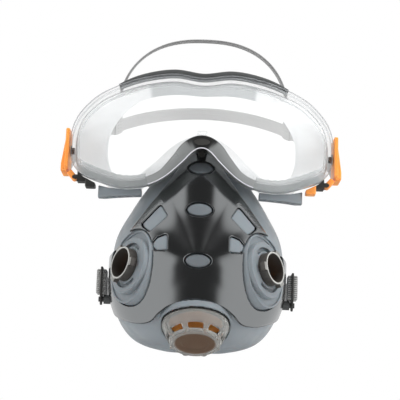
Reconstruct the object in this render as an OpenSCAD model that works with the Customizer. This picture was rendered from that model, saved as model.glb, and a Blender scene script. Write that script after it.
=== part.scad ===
// Half-mask respirator with wide-view safety goggles clipped to its nose.
// Millimetres. +Z up, the front faces -Y, the wearer's face lies at +Y.
// The origin is in the middle of the cheek seal; left and right are as seen
// from the front, so left is -X.

/* [Half mask] */
// Seal radius from the middle, every 22.5 degrees from the nose round to the chin
seal_r = [88, 74, 65, 62, 59, 61, 61.5, 56, 52.5];
// How far the seal's edge lies in front of the cheeks, at the same angles
seal_back = [25, 17, 7, 2, 1, 1, 4, 10, 13];
// Fullness of the dome from the edge to the front, at the same angles
seal_full = [1.55, 1.65, 1.85, 2.2, 2.5, 2.45, 2.3, 2.3, 2.3];
// Height of the dome's middle
mask_mid_z = -15; // [-20:1:-10]
// Depth of the silicone dome
mask_depth = 70; // [66:1:74]
// Silicone wall
silicone_wall = 2.6; // [2:0.2:3.2]
// Width of the inturned face lip
lip_w = 12; // [8:1:15]

/* [Front cover] */
// Thickness of the rigid cover
cover_wall = 2.2; // [1.6:0.2:3]
// Gap between the cover and the silicone
cover_gap = 0.6; // [0.3:0.1:1]
// Width of an oval window
oval_w = 18; // [14:1:20]
// Height of an oval window
oval_h = 10.5; // [8:0.5:12]
// Heights of the three oval windows
oval_z = [54, 23, -12];

/* [Filter ports] */
// Outer diameter of the port tube
tube_d = 22; // [20:1:26]
// Wall of the port tube
tube_wall = 1.2; // [1:0.1:2]
// Height of the tube's rim above the boss
tube_rise = 10.7; // [8:0.1:14]
// Diameter of the boss
boss_d = 50; // [46:1:54]
// Diameter of the raised disc on the boss
disc_d = 38; // [34:1:40]
// Height of the raised disc
disc_h = 4.3; // [3:0.1:6]
// Number of bayonet lugs
lugs = 3; // [2:1:4]

/* [Exhalation valve] */
// Diameter of the valve's collar
collar_d = 45; // [42:1:48]
// Diameter of the cap at its face
face_d = 33; // [30:1:36]
// Height of the cap
cap_h = 16; // [12:1:20]
// Number of windows and of ribs round the cap
cap_windows = 8; // [6:1:10]

/* [Goggles] */
// Radius of the lens wrapping round the face
wrap_r = 120; // [110:5:140]
// Front of the lens
lens_front_y = -58; // [-62:1:-54]
// Thickness of the lens
lens_t = 2; // [1.6:0.2:3]
// Width of the thick rim round the lens
rim_w = 5.5; // [4:0.5:7]
// Depth of the frame behind the lens
frame_t = 6; // [4:1:8]
// Wall of the soft skirt
skirt_wall = 1.8; // [1.4:0.2:2.6]

/* [Harness] */
// Width of the rear strap
rear_w = 10; // [8:1:18]
// Width of the crown strap
crown_w = 18; // [14:1:20]
// Thickness of the silicone straps
strap_t = 1.6; // [1.2:0.2:2.4]
// Reach of the rear strap behind the clips
rear_reach = 145; // [120:5:160]
// Rise of the rear strap behind the clips
rear_rise = 77; // [50:1:90]
// Height of the crown strap above its joints with the rear strap
crown_rise = 66; // [60:2:90]
// Width of the woven neck strap
neck_w = 17; // [15:1:20]
// Reach of the neck strap behind the buckles
neck_reach = 115; // [90:5:130]

/* [Hidden] */
$fn = 96;

silicone = [0.60, 0.64, 0.67];
gunmetal = [0.36, 0.37, 0.37];
black_grey = [0.20, 0.20, 0.20];
orange = [0.96, 0.58, 0.22];
flap_orange = [0.80, 0.45, 0.10];
smoke = [0.48, 0.44, 0.38, 0.6];
clear = [0.90, 0.93, 0.95, 0.35];
skirt_white = [0.92, 0.93, 0.94, 0.8];
strap_grey = [0.45, 0.45, 0.45];
webbing_grey = [0.62, 0.62, 0.62];

run_gap = 0.05;     // radial clearance of a pin in its hole
part_gap = 0.3;     // gap between pieces that move past each other
angle_step = 7.5;   // round the half mask

// Port axis and the middle of the boss's outer plane, on the right
port_dir = [0.81, -0.559, 0.175];
port_at = [42.7, -52, -15];
// Valve axis and the middle of its collar's outer plane
valve_dir = [0, -0.42, -0.907];
valve_at = [0, -51, -50.5];
// Clip pivot on the right, and the buckle's pivot
clip_at = [92.1, -3, 72];
buckle_at = [62, -10, -33];
cover_back_y = -20;   // rear edge of the cover at the cheeks
wrap_y = lens_front_y + wrap_r;   // axis of the lens's wrap
rim_back_r = wrap_r - 4;
frame_back_r = rim_back_r - frame_t;
frame_back_y = wrap_y - frame_back_r;

// Cover outline from the nose down the right side to the notch, as [x, z]
cover_half = [[0, 66], [9, 64.5], [14, 57], [21, 46], [38, 22.5], [54, 0], [67, -9], [67, -31],
    [58, -43], [46, -50], [37, -52], [29.5, -51], [23.5, -45.5], [15, -40.8], [0, -39.8]];
// Large and small windows on the right
large_window = [[26.5, 28.5], [39, 14.5], [37.5, 11.5], [33, 7.5], [21, 19]];
small_window = [[20.6, 6.6], [27.8, 3.8], [31, 0], [30.6, -3], [28.4, -5.8], [20.4, -5.5]];
// Lens outline from the top middle down the right side to the nose
lens_half = [[0, 114.2], [19.3, 116.9], [38, 115.6], [54.4, 112.3], [72.6, 106], [86.3, 95.5],
    [91.9, 84], [92.1, 70], [90, 60.5], [82, 51.5], [63, 42.4], [50, 39.4], [35.2, 40.4],
    [24, 45.6], [13.4, 54.8], [5.5, 63], [0, 65.2]];
// Face opening of the skirt, one point for each point of the lens outline
face_half = [[0, 114], [17, 115], [32, 114], [44, 111], [55, 104], [63.5, 94],
    [68, 83], [68.5, 70], [66, 60], [61, 53], [54, 50], [47, 51], [39, 57],
    [31, 63.5], [21, 72.5], [10, 78.5], [0, 80]];

function catmull(a, b, c, d, t) =
    0.5 * (2 * b + (c - a) * t + (2 * a - 5 * b + 4 * c - d) * t * t
    + (3 * b - a - 3 * c + d) * t * t * t);
// Smooth value at an angle from a list that runs from the nose to the chin
function at_angle(v, a) =
    let (s = min(a, 360 - a) / 22.5, i = min(floor(s), 7), j = i + 2 > 8 ? 7 : i + 2)
    catmull(v[abs(i - 1)], v[i], v[i + 1], v[j], s - i);
function mirrored(h) = concat(h, [for (i = [len(h) - 2:-1:1]) [-h[i][0], h[i][1]]]);
function smooth_loop(p, n) = let (m = len(p)) [for (i = [0:m - 1], k = [0:n - 1])
    catmull(p[(i + m - 1) % m], p[i], p[(i + 1) % m], p[(i + 2) % m], k / n)];
// Unit inward normal of a clockwise loop at point i
function inward(p, i) = let (m = len(p), t = p[(i + 1) % m] - p[(i + m - 1) % m])
    [t[1], -t[0]] / norm(t);
function nose_weight(q) = q[1] > 80 ? 0 : max(0, 1 - abs(q[0]) / 26);
// The loop moved inwards, by more at the nose
function inset(p, side, nose) = [for (i = [0:len(p) - 1])
    p[i] + inward(p, i) * (side + (nose - side) * nose_weight(p[i]))];
// A point of the mask's dome: a round the seal, t from the edge (0) to the front (90)
function dome(a, t, d) = let (n = at_angle(seal_full, a), back = at_angle(seal_back, a),
    r = (at_angle(seal_r, a) + d) * pow(cos(t), 2 / n),
    y = back + (mask_depth + d - back) * pow(sin(t), 2 / n))
    [r * sin(a), -y, mask_mid_z + r * cos(a)];
// A point on the face lip, w in from the edge and h behind it
function lip(a, w, h) = let (r = at_angle(seal_r, a) - w)
    [r * sin(a), h - at_angle(seal_back, a), mask_mid_z + r * cos(a)];
function wrap_depth(x, r) = wrap_y - sqrt(r * r - x * x);

// Closed skin over rings of equal length with a pole at each end
module rings_with_poles(first, rings, last) {
    n = len(rings[0]);
    m = len(rings);
    pts = concat([first], [for (r = rings, p = r) p], [last]);
    end = len(pts) - 1;
    polyhedron(pts, concat(
        [for (i = [0:n - 1]) [0, 1 + i, 1 + (i + 1) % n]],
        [for (k = [0:m - 2], i = [0:n - 1], h = [0, 1])
            let (a = 1 + k * n + i, b = 1 + k * n + (i + 1) % n)
            h == 0 ? [a, b + n, b] : [a, a + n, b + n]],
        [for (i = [0:n - 1]) [end, end - n + (i + 1) % n, end - n + i]]));
}
// Closed skin over rings that join up, last to first
module ring_of_rings(rings) {
    n = len(rings[0]);
    m = len(rings);
    polyhedron([for (r = rings, p = r) p],
        [for (k = [0:m - 1], i = [0:n - 1], h = [0, 1])
            let (a = k * n + i, b = k * n + (i + 1) % n,
                c = ((k + 1) % m) * n + i, d = ((k + 1) % m) * n + (i + 1) % n)
            h == 0 ? [a, d, b] : [a, c, d]]);
}
// Outline in X and Z run from y0 to y1
module prism(p, y0 = -90, y1 = 20)
    translate([0, y1, 0]) rotate([90, 0, 0]) linear_extrude(y1 - y0) polygon(p);
module along(at, dir)
    translate(at) rotate([0, acos(dir[2] / norm(dir)), atan2(dir[1], dir[0])]) children();
module on_left() mirror([1, 0, 0]) children();
module box(lo, hi) translate(lo) cube(hi - lo);
module ring(r_out, r_in, z0, z1) translate([0, 0, z0]) difference() {
    cylinder(r = r_out, h = z1 - z0);
    translate([0, 0, -1]) cylinder(r = r_in, h = z1 - z0 + 2);
}

// ---- Half mask ----
mask_angles = [0:angle_step:360 - angle_step];
module dome_solid(d, pole_y) rings_with_poles(dome(0, 90, d),
    [for (t = [80, 70, 59, 48, 37, 26, 16, 7, 0]) [for (a = mask_angles) dome(a, t, d)]],
    [0, pole_y, mask_mid_z]);
// Outline of the boss in its own plane, flattened on the side towards the middle
function boss_outline(grow) = [for (a = [0:7.5:352.5])
    [(boss_d / 2 + grow) * cos(a), ((sin(a) < 0 ? boss_inboard : boss_d / 2) + grow) * sin(a)]];
module boss_prism(grow, z0, z1)
    translate([0, 0, z0]) linear_extrude(z1 - z0) polygon(boss_outline(grow));
module port_cut(grow) {
    along(port_at, port_dir) boss_prism(grow, -30, 30);
    on_left() along(port_at, port_dir) boss_prism(grow, -30, 30);
}
module facepiece() color(silicone) difference() {
    rings_with_poles(dome(0, 90, 0), concat(
        [for (t = [80, 70, 59, 48, 37, 26, 16, 7, 0]) [for (a = mask_angles) dome(a, t, 0)]],
        [for (w = [[1.5, 1.4], [lip_w, 0.6], [lip_w + 0.4, -1], [4.5, -1.4]])
            [for (a = mask_angles) lip(a, w[0], w[1])]],
        [for (t = [10, 20, 32, 45, 58, 70, 80])
            [for (a = mask_angles) dome(a, t, -silicone_wall)]]),
        dome(0, 90, -silicone_wall));
    port_cut(0);
    along(valve_at, valve_dir) {
        translate([0, 0, -16]) cylinder(r = neck_r, h = 40);
        translate([0, 0, -collar_foot]) cylinder(d = collar_d, h = 30);
    }
}
module oval(z) prism([for (i = [0:31]) [oval_w / 2 * cos(i * 11.25), z + oval_h / 2 * sin(i * 11.25)]],
    -90, -15);
module front_cover() color(gunmetal) difference() {
    intersection() {
        difference() {
            dome_solid(cover_gap + cover_wall, -6);
            dome_solid(cover_gap, 10);
        }
        prism(smooth_loop(mirrored(cover_half), 3), -90, cover_back_y);
    }
    for (z = oval_z) oval(z);
    for (w = [large_window, small_window]) {
        prism(w, -90, -15);
        on_left() prism(w, -90, -15);
    }
    port_cut(0.8);
    translate(peg_at) cylinder(r = peg_r, h = 30, center = true);
}

// ---- Filter ports ----
tube_r = tube_d / 2;
bore_r = tube_r - tube_wall;
throat_r = bore_r - 1.2;   // below the boss's face, where the valve sits
boss_foot = -10;   // inner end of the boss
boss_inboard = 19.8;   // its half width towards the middle
module port_boss() color(silicone) along(port_at, port_dir) difference() {
    union() {
        boss_prism(0, boss_foot, 0);
        difference() {
            boss_prism(0, -1, 1);
            boss_prism(-1.5, -2, 2);
        }
        cylinder(d = disc_d, h = disc_h);
    }
    translate([0, 0, boss_foot - 1]) cylinder(r = tube_r, h = 30);
    translate([0, 0, boss_foot - 1]) cylinder(r = boss_inboard - 2.8, h = 4);
    // groove round the tube, open over three quarters of a turn
    rotate([0, 0, -45]) rotate_extrude(angle = 270)
        translate([tube_r + 1.6, disc_h - 2.6]) square([2.6, 4]);
}
module filter_port() color(black_grey) along(port_at, port_dir) difference() {
    union() {
        translate([0, 0, boss_foot]) cylinder(r = tube_r, h = tube_rise - boss_foot);
        for (k = [0:lugs - 1]) rotate([0, 0, -90 + k * 360 / lugs])
            intersection() {
                ring(tube_r + 2.4, tube_r - 0.5, tube_rise - 4, tube_rise - 0.8);
                translate([0, -2.8, 0]) cube([tube_r + 4, 5.6, 20]);
            }
    }
    translate([0, 0, boss_foot - 1]) cylinder(r = throat_r, h = 30);
    cylinder(r = bore_r, h = 60);
}
module port_nut() color(black_grey) along(port_at, port_dir) difference() {
    ring(tube_r + 5, tube_r, boss_foot - 1.5, boss_foot + 3);
    for (k = [0:7]) rotate([0, 0, 45 * k]) translate([tube_r + 4, -1.5, boss_foot - 2])
        cube([3, 3, 10]);
}
// Flat wheel with a hub, spokes and a hole for a stem
module spider(r_out, r_in, hub_r, hole_r, spokes, spoke_w, t) linear_extrude(t) difference() {
    circle(r = r_out);
    difference() {
        circle(r = r_in);
        circle(r = hub_r);
        for (k = [0:spokes - 1]) rotate(360 * k / spokes)
            translate([0, -spoke_w / 2]) square([r_out, spoke_w]);
    }
    circle(r = hole_r);
}
module inhalation_seat() color(black_grey) along(port_at, port_dir) translate([0, 0, -5])
    spider(throat_r, throat_r - 1.2, 2.2, 0.9 + run_gap, 3, 1.4, 1.5);
module inhalation_flap() color(flap_orange) along(port_at, port_dir) {
    translate([0, 0, -6.1]) cylinder(r = throat_r - 0.5, h = 0.8);
    translate([0, 0, -5.4]) cylinder(r = 0.9, h = 4.2, $fn = 32);
    translate([0, 0, -1.8]) cylinder(r = 1.6, h = 1.2, $fn = 32);
}

// ---- Exhalation valve ----
neck_r = collar_d / 2 - 4.5;
seat_r = neck_r - 2.5;
collar_foot = 1;
collar_top = 1.6;
module exhalation_collar() color(gunmetal) along(valve_at, valve_dir) {
    ring(collar_d / 2, neck_r, -collar_foot, collar_top);
    ring(neck_r, seat_r, -10, 0);
}
module exhalation_seat() color(black_grey) along(valve_at, valve_dir) translate([0, 0, -2.5])
    spider(seat_r, seat_r - 1.6, 3, 1.2 + run_gap, 6, 1.6, 2.4);
module exhalation_flap() color(flap_orange) along(valve_at, valve_dir) {
    translate([0, 0, 0.3]) cylinder(r = neck_r - 0.5, h = 0.9);
    translate([0, 0, -5.5]) cylinder(r = 1.2, h = 6, $fn = 32);
    translate([0, 0, -6.3]) cylinder(r = 2, h = 1.5, $fn = 32);
}
cap_r = collar_d / 2 - 0.3;
cap_foot = collar_top + part_gap;
module exhalation_cap() color(smoke) along(valve_at, valve_dir) {
    difference() {
        rotate_extrude() polygon([[cap_r, cap_foot], [cap_r, 4], [face_d / 2 + 1, cap_h - 3],
            [face_d / 2, cap_h], [face_d / 2 - 3, cap_h], [face_d / 2 - 3.6, cap_h - 0.6],
            [0, cap_h - 0.6], [0, cap_h - 2], [face_d / 2 - 1.4, cap_h - 2],
            [cap_r - 1.8, 4], [cap_r - 1.8, cap_foot]]);
        for (k = [0:cap_windows - 1]) rotate([0, 0, k * 360 / cap_windows])
            translate([10, -5, cap_h - 6.5]) cube([15, 10, 3.8]);
    }
    for (k = [0:cap_windows - 1]) rotate([0, 0, (k + 0.5) * 360 / cap_windows])
        translate([face_d / 2 - 0.6, 0, cap_h - 4.5]) cylinder(r = 1.9, h = 4.5, $fn = 24);
}

// ---- Nose joint between the half mask and the goggles ----
peg_at = [0, -40.5, 60];
peg_r = 2.4;
peg_top = 12;
socket_wall = 1.8;
module nose_peg() color(black_grey) translate(peg_at) {
    translate([0, 0, -6]) cylinder(r = peg_r, h = 6 + peg_top);
}

// ---- Neck strap and its buckles ----
plate_x = [65, 66.6];
module buckle_mount() color(gunmetal) translate(buckle_at) rotate([0, 90, 0]) {
    translate([0, 0, -6]) cylinder(r = 3.2, h = 8);
    cylinder(r = 1.8, h = plate_x[1] - buckle_at[0] + 1, $fn = 48);
}
module buckle() color(black_grey) difference() {
    union() {
        box([plate_x[0], -17, -31], [plate_x[1], -1, -11]);
        translate([plate_x[0], buckle_at[1], buckle_at[2]]) rotate([0, 90, 0])
            cylinder(r = 4, h = plate_x[1] - plate_x[0]);
    }
    for (y = [-14, -7]) box([plate_x[0] - 1, y, -29.7], [plate_x[1] + 1, y + 3.6, -12.3]);
    translate([plate_x[0] - 1, buckle_at[1], buckle_at[2]]) rotate([0, 90, 0])
        cylinder(r = 1.8 + run_gap, h = 6, $fn = 48);
}
neck_z = -21;
module webbing_lobe(x0, x1) hull() for (y = [-12.5, -4])
    translate([(x0 + x1) / 2, y, neck_z - neck_w / 2])
        cylinder(d = x1 - x0, h = neck_w, $fn = 24);
module webbing_end() color(webbing_grey) {
    webbing_lobe(plate_x[0] - 2.6, plate_x[0]);
    webbing_lobe(plate_x[1], plate_x[1] + 2.8);
    box([plate_x[0] - 0.5, -13.6, neck_z - neck_w / 2], [plate_x[1] + 0.5, -10.8, neck_z + neck_w / 2]);
}
// Half loop of a strap in its own plane: half width a, reach b, squareness n
function loop_pt(a, b, n, s) = [a * sign(cos(s)) * pow(abs(cos(s)), 2 / n), b * pow(sin(s), 2 / n)];
function half_loop(a, b, n, t) = concat(
    [for (s = [0:6:180]) loop_pt(a, b, n, s)],
    [for (s = [180:-6:0]) loop_pt(a - t, b - t, n, s)]);
module neck_strap() color(webbing_grey) translate([0, -2.2, neck_z - neck_w / 2])
    linear_extrude(neck_w) polygon(half_loop(plate_x[1] + 1.8, neck_reach, 2.2, strap_t));

// ---- Goggles ----
lens_loop = smooth_loop(mirrored(lens_half), 2);
face_loop = smooth_loop(mirrored(face_half), 2);
module wrap_shell(r_out, r_in) translate([0, wrap_y, 20]) ring(r_out, r_in, 0, 110, $fn = 180);
module lens_band(r_out, r_in, outer, inner) intersection() {
    wrap_shell(r_out, r_in);
    difference() {
        prism(outer);
        translate([0, 1, 0]) prism(inner, -92, 22);
    }
}
// Over the nose the rim gives way to the bridge, which comes through to the front
bridge_w = 9.5;
module lens() color(clear) difference() {
    union() {
        intersection() {
            wrap_shell(wrap_r, wrap_r - lens_t);
            prism(inset(lens_loop, rim_w - 0.5, rim_w - 0.5));
        }
        lens_band(wrap_r + 0.8, rim_back_r, lens_loop, inset(lens_loop, rim_w, rim_w));
    }
    difference() {
        prism(nose_zone, -92, 22);
        prism(inset(lens_loop, bridge_w, bridge_w), -93, 23);
    }
}
// The loop moved inwards, by w on top and by more along the lower edge
function inset_low(p, w, low) = [for (i = [0:len(p) - 1])
    p[i] + inward(p, i) * (w + (low - w) * min(1, max(0, (64 - p[i][1]) / 12)))];
nose_zone = [[-36, 30], [36, 30], [36, 79], [-36, 79]];
brow_zone = [[-60, 100], [60, 100], [60, 130], [-60, 130]];
module lens_frame() color(clear) difference() {
    lens_band(rim_back_r, frame_back_r, inset(lens_loop, 0.4, 0.4), inset_low(lens_loop, 6, 9.5));
    prism(nose_zone, -92, 22);
}
module nose_bridge() color(gunmetal) difference() {
    union() {
        intersection() {
            lens_band(rim_back_r, frame_back_r, inset(lens_loop, 0.2, 0.2),
                inset(lens_loop, bridge_w, bridge_w));
            prism(nose_zone);
        }
        intersection() {
            lens_band(wrap_r + 0.8, rim_back_r - 0.1, inset(lens_loop, 0.2, 0.2),
                inset(lens_loop, bridge_w - part_gap, bridge_w - part_gap));
            prism([for (v = nose_zone) [v[0] - part_gap * sign(v[0]), v[1]]]);
        }
        box([-peg_r - socket_wall, frame_back_y - 1.5, 66.5],
            [peg_r + socket_wall, peg_at[1] + peg_r + socket_wall, 72.6]);
    }
    translate([0, peg_at[1], 60]) cylinder(r = peg_r + 0.1, h = peg_top + 0.3, $fn = 48);
}
// The loop moved out, tapering away towards both ends of the brow
function brow_edge(p, out) = [for (i = [0:len(p) - 1])
    p[i] - inward(p, i) * (out * max(0, 1 - pow(abs(p[i][0]) / 62, 4)))];
module brow_bar() color(gunmetal) intersection() {
    lens_band(wrap_r - 0.5, frame_back_r - 4, brow_edge(lens_loop, 3.2), lens_loop);
    prism(brow_zone);
}
// Skirt sections run from the frame back to the face
function skirt_front(d, r) = [for (v = inset(lens_loop, 1.2 + d, 9 + d))
    [v[0], wrap_depth(v[0], r), v[1]]];
function face_y(v) = -13 + 15 * pow(v[0] / 68, 2) - 10 * (v[1] > 86 ? 0 : max(0, 1 - abs(v[0]) / 30));
function skirt_back(d, h) = [for (v = inset(face_loop, d, d)) [v[0], face_y(v) + h, v[1]]];
function mid_ring(a, b, t) = [for (i = [0:len(a) - 1]) a[i] + (b[i] - a[i]) * t];
module goggle_skirt() color(skirt_white) {
    outer_front = skirt_front(0, frame_back_r - 0.1);
    outer_step = skirt_front(0, frame_back_r - 3);
    inner_front = skirt_front(skirt_wall, frame_back_r - 0.1);
    inner_step = skirt_front(skirt_wall, frame_back_r - 3);
    ring_of_rings([inner_front, outer_front, outer_step,
        mid_ring(outer_step, skirt_back(-skirt_wall, -2), 0.55), skirt_back(-skirt_wall, -2),
        skirt_back(-7, 0.5), skirt_back(-7, 2), skirt_back(0.6, 2), skirt_back(0, 0),
        mid_ring(inner_step, skirt_back(0, -2), 0.55), inner_step]);
}
module vent_bar() color(silicone) difference() {
    intersection() {
        wrap_shell(frame_back_r - 3.4, frame_back_r - 12);
        prism([[40, 36.2], [71, 37.2], [71, 45], [63, 40.6], [50, 38.4], [40, 38.8]]);
    }
    for (k = [0:3]) translate([44 + 6.5 * k, wrap_depth(47 + 6.5 * k, frame_back_r - 7.5), 30])
        rotate([0, 0, 18]) cube([4, 2.6, 8]);
}
// Box that ends where the lens's outline begins
module under_lens(lo, hi) difference() {
    box(lo, hi);
    prism(inset(lens_loop, 0.2, 0.2), -92, 22);
}
module latch_housing() color(black_grey) under_lens([80.5, -15, 48.5], [86.2, -6, 57]);
module side_tab() under_lens([73, -22, 43.5], [80, -12, 51]);
module side_tab_left() color(black_grey) on_left() side_tab();
module side_tab_right() color(orange) side_tab();
module clip_pivot() color(black_grey) translate(clip_at) rotate([0, 90, 0]) {
    translate([0, 0, 0.1]) cylinder(r = 4, h = 0.5);
    translate([0, 0, -2]) cylinder(r = clip_pin_r, h = clip_x[1] - clip_at[0] + 2.6, $fn = 48);
}
latch_at = [88.6, -14, 51.5];   // hinge of the latch lever
latch_pin_r = 1.1;
module latch_pin() color(black_grey) translate(latch_at) rotate([-90, 0, 0]) {
    translate([0, 0, -1.2]) cylinder(r = latch_pin_r, h = 10.4, $fn = 32);
    translate([-2.4, -1.5, -1.2]) cube([2.4, 3, 1]);
    translate([-2.4, -1.5, 8.2]) cube([2.4, 3, 1]);
}
module lens_latch() color(orange) translate(latch_at) difference() {
    rotate([0, -48, 0]) union() {
        translate([0, 0.1, -2]) cube([5.6, 7.8, 4]);
        translate([0, 0.1, 0]) rotate([-90, 0, 0]) cylinder(r = 2, h = 7.8, $fn = 32);
    }
    rotate([-90, 0, 0]) translate([0, 0, -2]) cylinder(r = latch_pin_r + run_gap, h = 14, $fn = 32);
}

// ---- Head harness ----
clip_x = [93, 95.6];
clip_pin_r = 2.4;
module strap_clip() color(orange) difference() {
    union() {
        hull() {
            box([clip_x[0], -15, 84], [clip_x[1], 8, 86.5]);
            box([clip_x[0], -17, 57], [clip_x[1], 10, 59]);
        }
        hull() {
            box([clip_x[1] - 0.1, -13, 78], [clip_x[1] + 0.2, 6, 79]);
            box([clip_x[1] - 0.1, -15, 55.5], [clip_x[1] + 2.6, 8, 61]);
        }
    }
    translate([clip_x[0] - 1, clip_at[1], clip_at[2]]) rotate([0, 90, 0])
        cylinder(r = clip_pin_r + run_gap, h = 10, $fn = 48);
}
strap_x = (clip_x[0] + clip_x[1] + strap_t) / 2;   // outer side of both straps at the clips
rear_at = [0, 10, clip_at[2] - 8];
rear_tilt = atan(rear_rise / rear_reach);
module rear_strap() color(strap_grey) translate(rear_at) rotate([rear_tilt, 0, 0])
    translate([0, 0, -rear_w / 2]) linear_extrude(rear_w)
        polygon(half_loop(strap_x, norm([rear_reach, rear_rise]), 2, strap_t));
// Where the crown strap joins the rear strap, as an angle round the rear strap's half loop
joint_s = 44;
rear_b = norm([rear_reach, rear_rise]);
joint_pt = loop_pt(strap_x - strap_t / 2, rear_b - strap_t / 2, 2, joint_s);
joint_turn = atan2(joint_pt[1] * pow(strap_x / rear_b, 2), joint_pt[0]);
joint_at = rear_at + [joint_pt[0], joint_pt[1] * cos(rear_tilt), joint_pt[1] * sin(rear_tilt)];
module strap_keeper() color(strap_grey) translate(rear_at) rotate([rear_tilt, 0, 0])
    translate([joint_pt[0], joint_pt[1], 0]) rotate([0, 0, joint_turn])
        box([-strap_t / 2 - 1, -5, -rear_w / 2 - 1], [strap_t / 2 + 1, 5, rear_w / 2 + 3]);
// The crown strap's band lies along one slope of the head, and turns a little on the left
crown_at = [0, joint_at[1] - 2, joint_at[2] + 5];
crown_half = joint_at[0];
crown_lean = -4;
band_slope = 10;
band_turn = 20;
function crown_mid(s) = let (p = loop_pt(crown_half, crown_rise, 2.4, s))
    crown_at + [p[0], p[1] * sin(crown_lean), p[1] * cos(crown_lean)];
function crown_frame(s) = let (t = crown_mid(min(180, s + 1)) - crown_mid(max(0, s - 1)),
    slope = band_slope + band_turn * pow(max(0, (s - 90) / 90), 2) * (180 - s) / 45,
    w = [0, cos(slope), sin(slope)], across = w - t * ((w * t) / (t * t)), n = cross(t, across))
    [across / norm(across) * crown_w / 2, n / norm(n) * strap_t / 2];
module crown_strap() color(strap_grey) {
    steps = [for (s = [0:5:180]) s];
    pts = [for (s = steps) let (p = crown_mid(s), f = crown_frame(s))
        each [p + f[0] + f[1], p + f[0] - f[1], p - f[0] - f[1], p - f[0] + f[1]]];
    last = 4 * (len(steps) - 1);
    polyhedron(pts, concat([[0, 1, 2, 3]],
        [for (k = [0:len(steps) - 2], c = [0:3], h = [0, 1])
            let (a = 4 * k + c, b = 4 * k + (c + 1) % 4)
            h == 0 ? [a, a + 4, b + 4] : [a, b + 4, b]],
        [[last + 3, last + 2, last + 1, last]]));
}

facepiece();
front_cover();
on_left() port_boss();  // port_boss_left
port_boss();  // port_boss_right
on_left() filter_port();  // filter_port_left
filter_port();  // filter_port_right
on_left() port_nut();  // port_nut_left
port_nut();  // port_nut_right
on_left() inhalation_seat();  // inhalation_seat_left
inhalation_seat();  // inhalation_seat_right
on_left() inhalation_flap();  // inhalation_flap_left
inhalation_flap();  // inhalation_flap_right
exhalation_collar();
exhalation_seat();
exhalation_flap();
exhalation_cap();
nose_peg();
on_left() buckle_mount();  // buckle_mount_left
buckle_mount();  // buckle_mount_right
on_left() buckle();  // buckle_left
buckle();  // buckle_right
on_left() webbing_end();  // webbing_end_left
webbing_end();  // webbing_end_right
neck_strap();
lens();
lens_frame();
brow_bar();
nose_bridge();
goggle_skirt();
on_left() vent_bar();  // vent_bar_left
vent_bar();  // vent_bar_right
on_left() latch_housing();  // latch_housing_left
latch_housing();  // latch_housing_right
side_tab_left();
side_tab_right();
on_left() clip_pivot();  // clip_pivot_left
clip_pivot();  // clip_pivot_right
on_left() latch_pin();  // latch_pin_left
latch_pin();  // latch_pin_right
on_left() lens_latch();  // lens_latch_left
lens_latch();  // lens_latch_right
on_left() strap_clip();  // strap_clip_left
strap_clip();  // strap_clip_right
on_left() strap_keeper();  // strap_keeper_left
strap_keeper();  // strap_keeper_right
rear_strap();
crown_strap();
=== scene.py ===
import math

import bpy
import numpy as np
from mathutils import Matrix, Vector


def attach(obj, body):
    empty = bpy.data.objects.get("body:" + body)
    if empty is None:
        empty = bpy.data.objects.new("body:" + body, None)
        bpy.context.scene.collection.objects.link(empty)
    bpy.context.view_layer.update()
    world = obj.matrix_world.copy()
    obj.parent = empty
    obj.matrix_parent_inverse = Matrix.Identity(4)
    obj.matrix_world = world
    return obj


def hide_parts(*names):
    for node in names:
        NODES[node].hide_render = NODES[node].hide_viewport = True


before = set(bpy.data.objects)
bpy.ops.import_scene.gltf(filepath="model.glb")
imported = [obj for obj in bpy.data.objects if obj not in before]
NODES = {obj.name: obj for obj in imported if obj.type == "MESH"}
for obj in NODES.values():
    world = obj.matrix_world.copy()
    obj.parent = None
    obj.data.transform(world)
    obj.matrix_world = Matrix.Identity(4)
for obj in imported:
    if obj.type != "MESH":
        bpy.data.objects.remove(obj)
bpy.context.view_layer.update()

# ---------------------------------------------------------------- camera
scene = bpy.context.scene
scene.view_settings.view_transform = "Standard"
cam_data = bpy.data.cameras.new("camera")
cam_data.lens = 121
cam_data.sensor_width = 36
cam_data.clip_end = 20
camera = bpy.data.objects.new("camera", cam_data)
scene.collection.objects.link(camera)
CAM_AT = np.array([0.0, -0.9363, -0.1245])      # in front of the mask and below it
AIM = np.array([0.0, -0.05, 0.0318])
ROLL = math.radians(2.0)
forward = (AIM - CAM_AT) / np.linalg.norm(AIM - CAM_AT)
right = np.cross(forward, [0, 0, 1])
right /= np.linalg.norm(right)
up = np.cross(right, forward)
r2 = right * math.cos(ROLL) + up * math.sin(ROLL)
u2 = up * math.cos(ROLL) - right * math.sin(ROLL)
camera.matrix_world = Matrix([[r2[i], u2[i], -forward[i], CAM_AT[i]] for i in range(3)]
                             + [[0, 0, 0, 1]])
scene.camera = camera

# ---------------------------------------------------------------- dimensions (mm), as in the CAD
SEAL_R = [88, 74, 65, 62, 59, 61, 61.5, 56, 52.5]
SEAL_BACK = [25, 17, 7, 2, 1, 1, 4, 10, 13]
SEAL_FULL = [1.55, 1.65, 1.85, 2.2, 2.5, 2.45, 2.3, 2.3, 2.3]
MID_Z, DEPTH, WALL, LIP_W = -15.0, 70.0, 2.6, 12.0
COVER_IN, COVER_OUT = 0.6, 2.8      # offsets of the rigid cover's faces from the silicone
TUBE_R, BORE_R, THROAT_R, TUBE_RISE = 11.0, 9.8, 8.6, 10.7
BOSS_R, BOSS_INBOARD, DISC_R, DISC_H = 25.0, 19.8, 19.0, 4.3
COLLAR_R, NECK_R = 22.5, 18.0
PORT_AT, PORT_DIR = np.array([42.7, -52, -15.0]), np.array([0.81, -0.559, 0.175])
VALVE_AT, VALVE_DIR = np.array([0, -51, -50.5]), np.array([0, -0.42, -0.907])
WRAP_Y = 62.0      # axis of the lens's wrap
COVER_HALF = [[0, 66], [9, 64.5], [14, 57], [21, 46], [38, 22.5], [54, 0], [67, -9], [67, -31],
              [58, -43], [46, -50], [37, -52], [29.5, -51], [23.5, -45.5], [15, -40.8], [0, -39.8]]
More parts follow.
